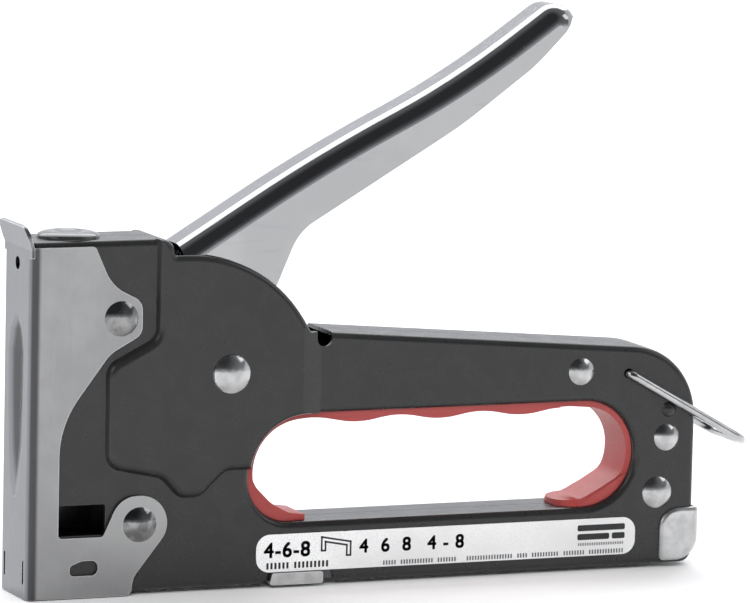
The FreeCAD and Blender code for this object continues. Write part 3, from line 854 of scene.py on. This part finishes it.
@dataclass
class SpringCap:
    """Domed cap over the main spring, on top of the front box.

    Attributes:
        spot: x of its middle, in millimetres.
        foot: z of the box's top.
        rim: Radius of its rim.
        rise: Height of the dome.
        neck: Radius of the part inside the box.
        depth: How far that part goes down.
        brim: Height of the rim's upright edge.
        curve: How far in from the rim the dome curves.
        draft: How far it leans in besides.
        steps: Rings of the dome.
        ring: Distance from the dome's last ring to the groove on top.
        groove: Width of that groove.
        sunk: Its depth.
    """

    spot: float = 10.8
    foot: float = 73.7
    rim: float = 6.5
    rise: float = 1.3
    neck: float = 5.6
    depth: float = 0.8
    brim: float = 0.35
    curve: float = 2.4
    draft: float = 0.25
    steps: int = 7
    ring: float = 0.9
    groove: float = 0.3
    sunk: float = 0.12

    def build(self) -> None:
        """Turns the cap on a lathe from a disc."""
        rest()
        bpy.ops.mesh.primitive_circle_add(
            vertices=72, radius=self.rim * MM, fill_type="NGON", location=at(self.spot, 0, self.foot))
        obj = bpy.context.object
        fix_place(obj)
        bpy.ops.object.mode_set(mode="EDIT")
        bpy.ops.mesh.select_all(action="SELECT")
        bpy.ops.mesh.extrude_region_move(TRANSFORM_OT_translate={"value": (0, 0, self.brim * MM)})
        last = self.rim
        for i in range(1, self.steps + 1):
            turn = i / self.steps * math.pi / 2
            radius = self.rim - self.curve * (1 - math.cos(turn)) - self.draft * math.sin(turn)
            bpy.ops.mesh.inset(thickness=(last - radius) * MM)
            lift = (self.rise - self.brim) * (math.sin(turn) - math.sin(turn - math.pi / 2 / self.steps))
            bpy.ops.transform.translate(value=(0, 0, lift * MM))
            last = radius
        bpy.ops.mesh.inset(thickness=self.ring * MM)
        bpy.ops.mesh.inset(thickness=self.groove * MM)
        bpy.ops.transform.translate(value=(0, 0, -self.sunk * MM))
        pick(obj, Pick.FACE, lambda middle, normal: normal.z < -0.99)
        bpy.ops.mesh.inset(thickness=(self.rim - self.neck) * MM)
        bpy.ops.mesh.extrude_region_move(TRANSFORM_OT_translate={"value": (0, 0, -self.depth * MM)})
        bpy.ops.object.mode_set(mode="OBJECT")
        close_up(obj, 40)
        finish_piece(obj, "spring_cap_turned", "cap_enamel", "body", "spring_cap")


@dataclass
class Label:
    """White sticker along the base, printed with a staple, numbers and rules.

    Attributes:
        face: Distance of the sticker's face from the seam, in millimetres.
        ink: Thickness of the print.
        figure: Size of the text whose figures are 1 high.
        line: Thickness of the drawn staple's lines.
        wire: Width between its outer and inner lines.
    """

    face: float = 7.6
    ink: float = 0.02
    figure: float = 1.38
    line: float = 0.38
    wire: float = 0.85

    def bar(self, x: float, z: float, length: float, height: float) -> bpy.types.Object:
        """Prints a plain bar with softened corners.

        Args:
            x: x of its left end.
            z: z of its lower edge.
            length: Its length.
            height: Its height.

        Returns:
            The bar.
        """
        obj = box_piece(at(x, -self.face - self.ink, z), at(x + length, -self.face, z + height))
        pick(obj, Pick.EDGE, lambda a, b: abs(a.y - b.y) > SAME)
        bpy.ops.mesh.bevel(offset=0.25 * min(length, height) * MM, segments=2, affect="EDGES")
        bpy.ops.object.mode_set(mode="OBJECT")
        return obj

    def number(self, text: str, x: float, z: float, size: float,
               bold: float = 0.1) -> list[bpy.types.Object]:
        """Prints numbers, each struck four times a little apart to make it bold.

        Args:
            text: The numbers.
            x: x of the left end.
            z: z of the foot.
            size: Height of the figures.
            bold: How far apart it is struck.

        Returns:
            The strikes.
        """
        strikes = []
        for over, up in ((-1, -1), (-1, 1), (1, -1), (1, 1)):
            rest()
            bpy.ops.object.text_add(
                location=at(x + over * bold, -self.face - self.ink / 2, z + up * bold), rotation=(math.pi / 2, 0, 0))
            obj = bpy.context.object
            obj.data.body = text
            obj.data.size = size * MM * self.figure
            obj.data.space_character = 1.1
            obj.data.extrude = self.ink / 2 * MM
            seize(obj)
            bpy.ops.object.convert(target="MESH")
            fix_place(obj)
            strikes.append(obj)
        return strikes

    def strokes(self, x: float, z: float, count: int, height: float) -> bpy.types.Object:
        """Prints a row of fine upright strokes that stands for a word.

        Args:
            x: x of its left end.
            z: z of its foot.
            count: Number of strokes.
            height: Their height.

        Returns:
            The row.
        """
        thickness, pitch = 0.36 * height, 0.66 * height
        obj = self.bar(x, z, thickness, height)
        apply(obj, "ARRAY", count=count, use_relative_offset=False, use_constant_offset=True,
              constant_offset_displace=(pitch * MM, 0, 0))
        return obj

    def staple(self, x: float, z: float, width: float, drop: float, leg: float) -> list[bpy.types.Object]:
        """Prints the outline of a staple seen at an angle.

        Args:
            x: x of its left side.
            z: z of its left shoulder.
            width: Width between its outer lines.
            drop: How much lower the right shoulder is.
            leg: Length of the legs.

        Returns:
            Its lines.
        """
        line, wire = self.line, self.wire
        lines = []
        for off in (0.0, wire):
            span = width - 2 * off
            left, top = x + off, z - off - drop * off / width
            fall = drop * span / width
            crown = self.bar(left, top - line, math.hypot(span, fall) + line, line)
            seize(crown)
            bpy.ops.object.mode_set(mode="EDIT")
            bpy.ops.mesh.select_all(action="SELECT")
            bpy.ops.transform.rotate(value=-math.atan2(fall, span), orient_axis="Y",
                                     center_override=at(left, -self.face, top), orient_type="GLOBAL")
            bpy.ops.object.mode_set(mode="OBJECT")
            lines += [crown, self.bar(left, z - leg, line, top - z + leg),
                      self.bar(left + span, z - drop - leg, line, top - fall - z + drop + leg)]
        lines.append(self.bar(x, z - leg, wire + line, line))
        lines.append(self.bar(x + width - wire, z - drop - leg, wire + line, line))
        return lines

    def build(self) -> None:
        """Dresses the sticker and prints on it."""
        dress_node("label", "label_paper")
        black = self.number("4-6-8", 52.2, 6.3, 3.2) + self.number("4  6  8", 73.6, 6.4, 2.9)
        black += self.number("4 - 8", 89.0, 6.4, 2.9)
        black += self.staple(64.9, 10.3, 6.5, 1.2, 3.3)
        black += [self.strokes(x, 3.8, count, 1.35) for x, count in ((52.8, 6), (59.0, 9))]
        black += [self.bar(123.4, 8.5, 11.0, 1.3), self.bar(123.4, 6.6, 7.4, 1.3), self.bar(131.4, 6.6, 3.0, 1.3)]
        finish_piece(join_all(black, "print"), "label_print", "print_black", "body")
        grey = [self.strokes(x, 3.5, count, 0.95) for x, count in
                ((79.0, 5), (83.0, 12), (91.4, 7), (98.0, 17), (109.6, 4), (113.0, 10), (120.3, 8), (126.2, 13))]
        grey.append(self.strokes(123.6, 5.35, 26, 0.62))
        finish_piece(join_all(grey, "print"), "label_small_print", "print_grey", "body")


@dataclass
class Metalwork:
    """CAD nodes whose shape is right, each with the finish that it gets."""

    finishes: dict[str, str] = field(default_factory=lambda: {
        "right_shell": "shell_paint", "left_shell": "shell_paint", "nose_plate": "zinc_plate",
        "blade_guide": "steel", "spring_guide": "steel", "plunger": "steel", "driver_blade": "steel",
        "bumper": "bumper_rubber", "bumper_bracket": "tab_zinc", "lever": "lever_chrome", "lifter_arm": "steel",
        "lifter_pin": "nickel", "pivot_bushes": "steel", "return_spring": "spring_steel",
        "rear_spacers": "tab_zinc", "bail": "bail_wire", "magazine_track": "shaded_track_zinc", "keeper_clip": "tab_zinc",
        "magazine_rail": "tab_zinc", "rail_tab": "tab_zinc", "pusher_rod": "steel", "pusher": "pusher_plastic",
    })

    def build(self) -> None:
        """Dresses the nodes."""
        for node, finish in self.finishes.items():
            dress_node(node, finish)


# ---- studio ---------------------------------------------------------------
@dataclass
class Studio:
    """Pale floor, soft light and the camera.

    Attributes:
        azimuth: Turn of the line of sight from +Y, in degrees.
        elevation: Angle of the line of sight below level.
        roll: Roll of the camera.
        place: The camera's place.
        lens: Its focal length on a 36 mm sensor.
        ceiling: Way to the middle of the dark ceiling.
        walls: Brightness of the room, from the side away from the ceiling's middle to it.
        horizon: Brightness of the room, from straight down to straight up.
        tint: Colour of the room.
        target: Place that the lamps point at.
    """

    azimuth: float = 22.454
    elevation: float = 7.973
    roll: float = 1.265
    place: Spot = (-0.493883, -1.191183, 0.238603)
    lens: float = 298.94
    ceiling: Spot = (-0.291, -0.705, 0.643)
    walls: tuple[tuple[float, float], ...] = (
        (0.0, 1.05), (0.57, 1.05), (0.61, 0.32), (0.84, 0.24), (0.95, 0.06))
    horizon: tuple[tuple[float, float], ...] = (
        (0.0, 0.9), (0.505, 0.9), (0.53, 0.55), (0.59, 0.16), (0.63, 0.0))
    tint: Colour = (0.93, 0.95, 1.0)
    target: Spot = (0, 0, 0.05)

    def camera(self) -> None:
        """Puts the camera where the tool is seen from the side and a little from the front."""
        az, el, roll = (math.radians(a) for a in (self.azimuth, self.elevation, self.roll))
        ahead = Vector((math.sin(az) * math.cos(el), math.cos(az) * math.cos(el), -math.sin(el)))
        right = Vector((math.cos(az), -math.sin(az), 0))
        up = Vector((math.sin(az) * math.sin(el), math.cos(az) * math.sin(el), math.cos(el)))
        across = math.cos(roll) * right + math.sin(roll) * up
        above = -math.sin(roll) * right + math.cos(roll) * up
        data = bpy.data.cameras.new("camera")
        data.lens = self.lens
        data.sensor_width = 36
        data.clip_end = 50
        obj = bpy.data.objects.new("camera", data)
        bpy.context.scene.collection.objects.link(obj)
        matrix = Matrix((across, above, -ahead)).transposed().to_4x4()
        matrix.translation = Vector(self.place)
        obj.matrix_world = matrix
        bpy.context.scene.camera = obj

    def lamp(self, name: str, place: Spot, size: tuple[float, float], power: float,
             mirrored: bool = True) -> None:
        """Adds a soft area lamp that points at the tool.

        Args:
            name: Name of the lamp.
            place: Its place, in metres.
            size: Its width and height.
            power: Its power in watts.
            mirrored: Whether bare metal shows it.
        """
        data = bpy.data.lights.new(name, "AREA")
        data.shape = "RECTANGLE"
        data.size, data.size_y = size
        data.energy = power
        obj = bpy.data.objects.new(name, data)
        obj.visible_camera = False
        obj.visible_glossy = mirrored
        bpy.context.scene.collection.objects.link(obj)
        obj.location = place
        obj.rotation_euler = (Vector(self.target) - Vector(place)).to_track_quat("-Z", "Y").to_euler()

    def surroundings(self) -> None:
        """Makes a white room with a dark ceiling over the side that the camera stands on."""
        world = bpy.data.worlds.new("studio")
        world.use_nodes = True
        nodes, links = world.node_tree.nodes, world.node_tree.links
        ways = nodes.new("ShaderNodeTexCoord")
        both = nodes.new("ShaderNodeMix")
        both.data_type = "RGBA"
        both.blend_type = "LIGHTEN"
        both.inputs[0].default_value = 1
        for socket, axis, stops in ((6, self.ceiling, self.walls), (7, (0, 0, 1), self.horizon)):
            turn = nodes.new("ShaderNodeVectorMath")
            turn.operation = "DOT_PRODUCT"
            turn.inputs[1].default_value = axis
            scale = nodes.new("ShaderNodeMapRange")
            scale.inputs["From Min"].default_value = -1
            ramp = nodes.new("ShaderNodeValToRGB")
            while len(ramp.color_ramp.elements) < len(stops):
                ramp.color_ramp.elements.new(0.5)
            for element, (spot, grey) in zip(ramp.color_ramp.elements, stops):
                element.position = spot
                element.color = (*(grey * part for part in self.tint), 1)
            links.new(ways.outputs["Generated"], turn.inputs[0])
            links.new(turn.outputs["Value"], scale.inputs["Value"])
            links.new(scale.outputs["Result"], ramp.inputs["Fac"])
            links.new(ramp.outputs["Color"], both.inputs[socket])
        links.new(both.outputs[2], nodes["Background"].inputs["Color"])
        bpy.context.scene.world = world

    def floor(self) -> None:
        """Lays the floor."""
        rest()
        bpy.ops.mesh.primitive_plane_add(size=14, location=(0, 0, -0.0002))
        obj = bpy.context.object
        obj.name = "floor"
        pale = bpy.data.materials.new("floor_white")
        pale.use_nodes = True
        shader = pale.node_tree.nodes["Principled BSDF"]
        shader.inputs["Base Color"].default_value = (0.95, 0.95, 0.95, 1)
        shader.inputs["Roughness"].default_value = 0.8
        obj.data.materials.append(pale)

    def build(self) -> None:
        """Sets up the studio."""
        bpy.context.scene.view_settings.view_transform = "Standard"
        self.surroundings()
        self.floor()
        self.lamp("back_softbox", (0.4, 1.92, 2.33), (4.6, 2.5), 84)
        self.lamp("left_softbox", (-2.6, -0.4, 1.7), (1.6, 1.4), 16)
        self.lamp("right_softbox", (2.4, -1.2, 1.9), (1.4, 1.2), 8)
        self.lamp("top_fill", (0.0, 0.3, 3.0), (4.0, 4.0), 25, mirrored=False)
        self.lamp("front_fill", (-0.9, -2.3, 1.9), (2.4, 1.6), 55, mirrored=False)
        self.camera()


def main() -> None:
    """Builds the tool and its studio, one sub-assembly after another."""
    logging.basicConfig(level=logging.INFO, format="%(message)s")
    for part in (Studio(), Metalwork(), Riveting(), Springs(), StapleStick(), GripLiner(), SpringCap(), Label()):
        LOG.info("building %s", type(part).__name__)
        part.build()
    rest()


if __name__ == "__main__":
    main()
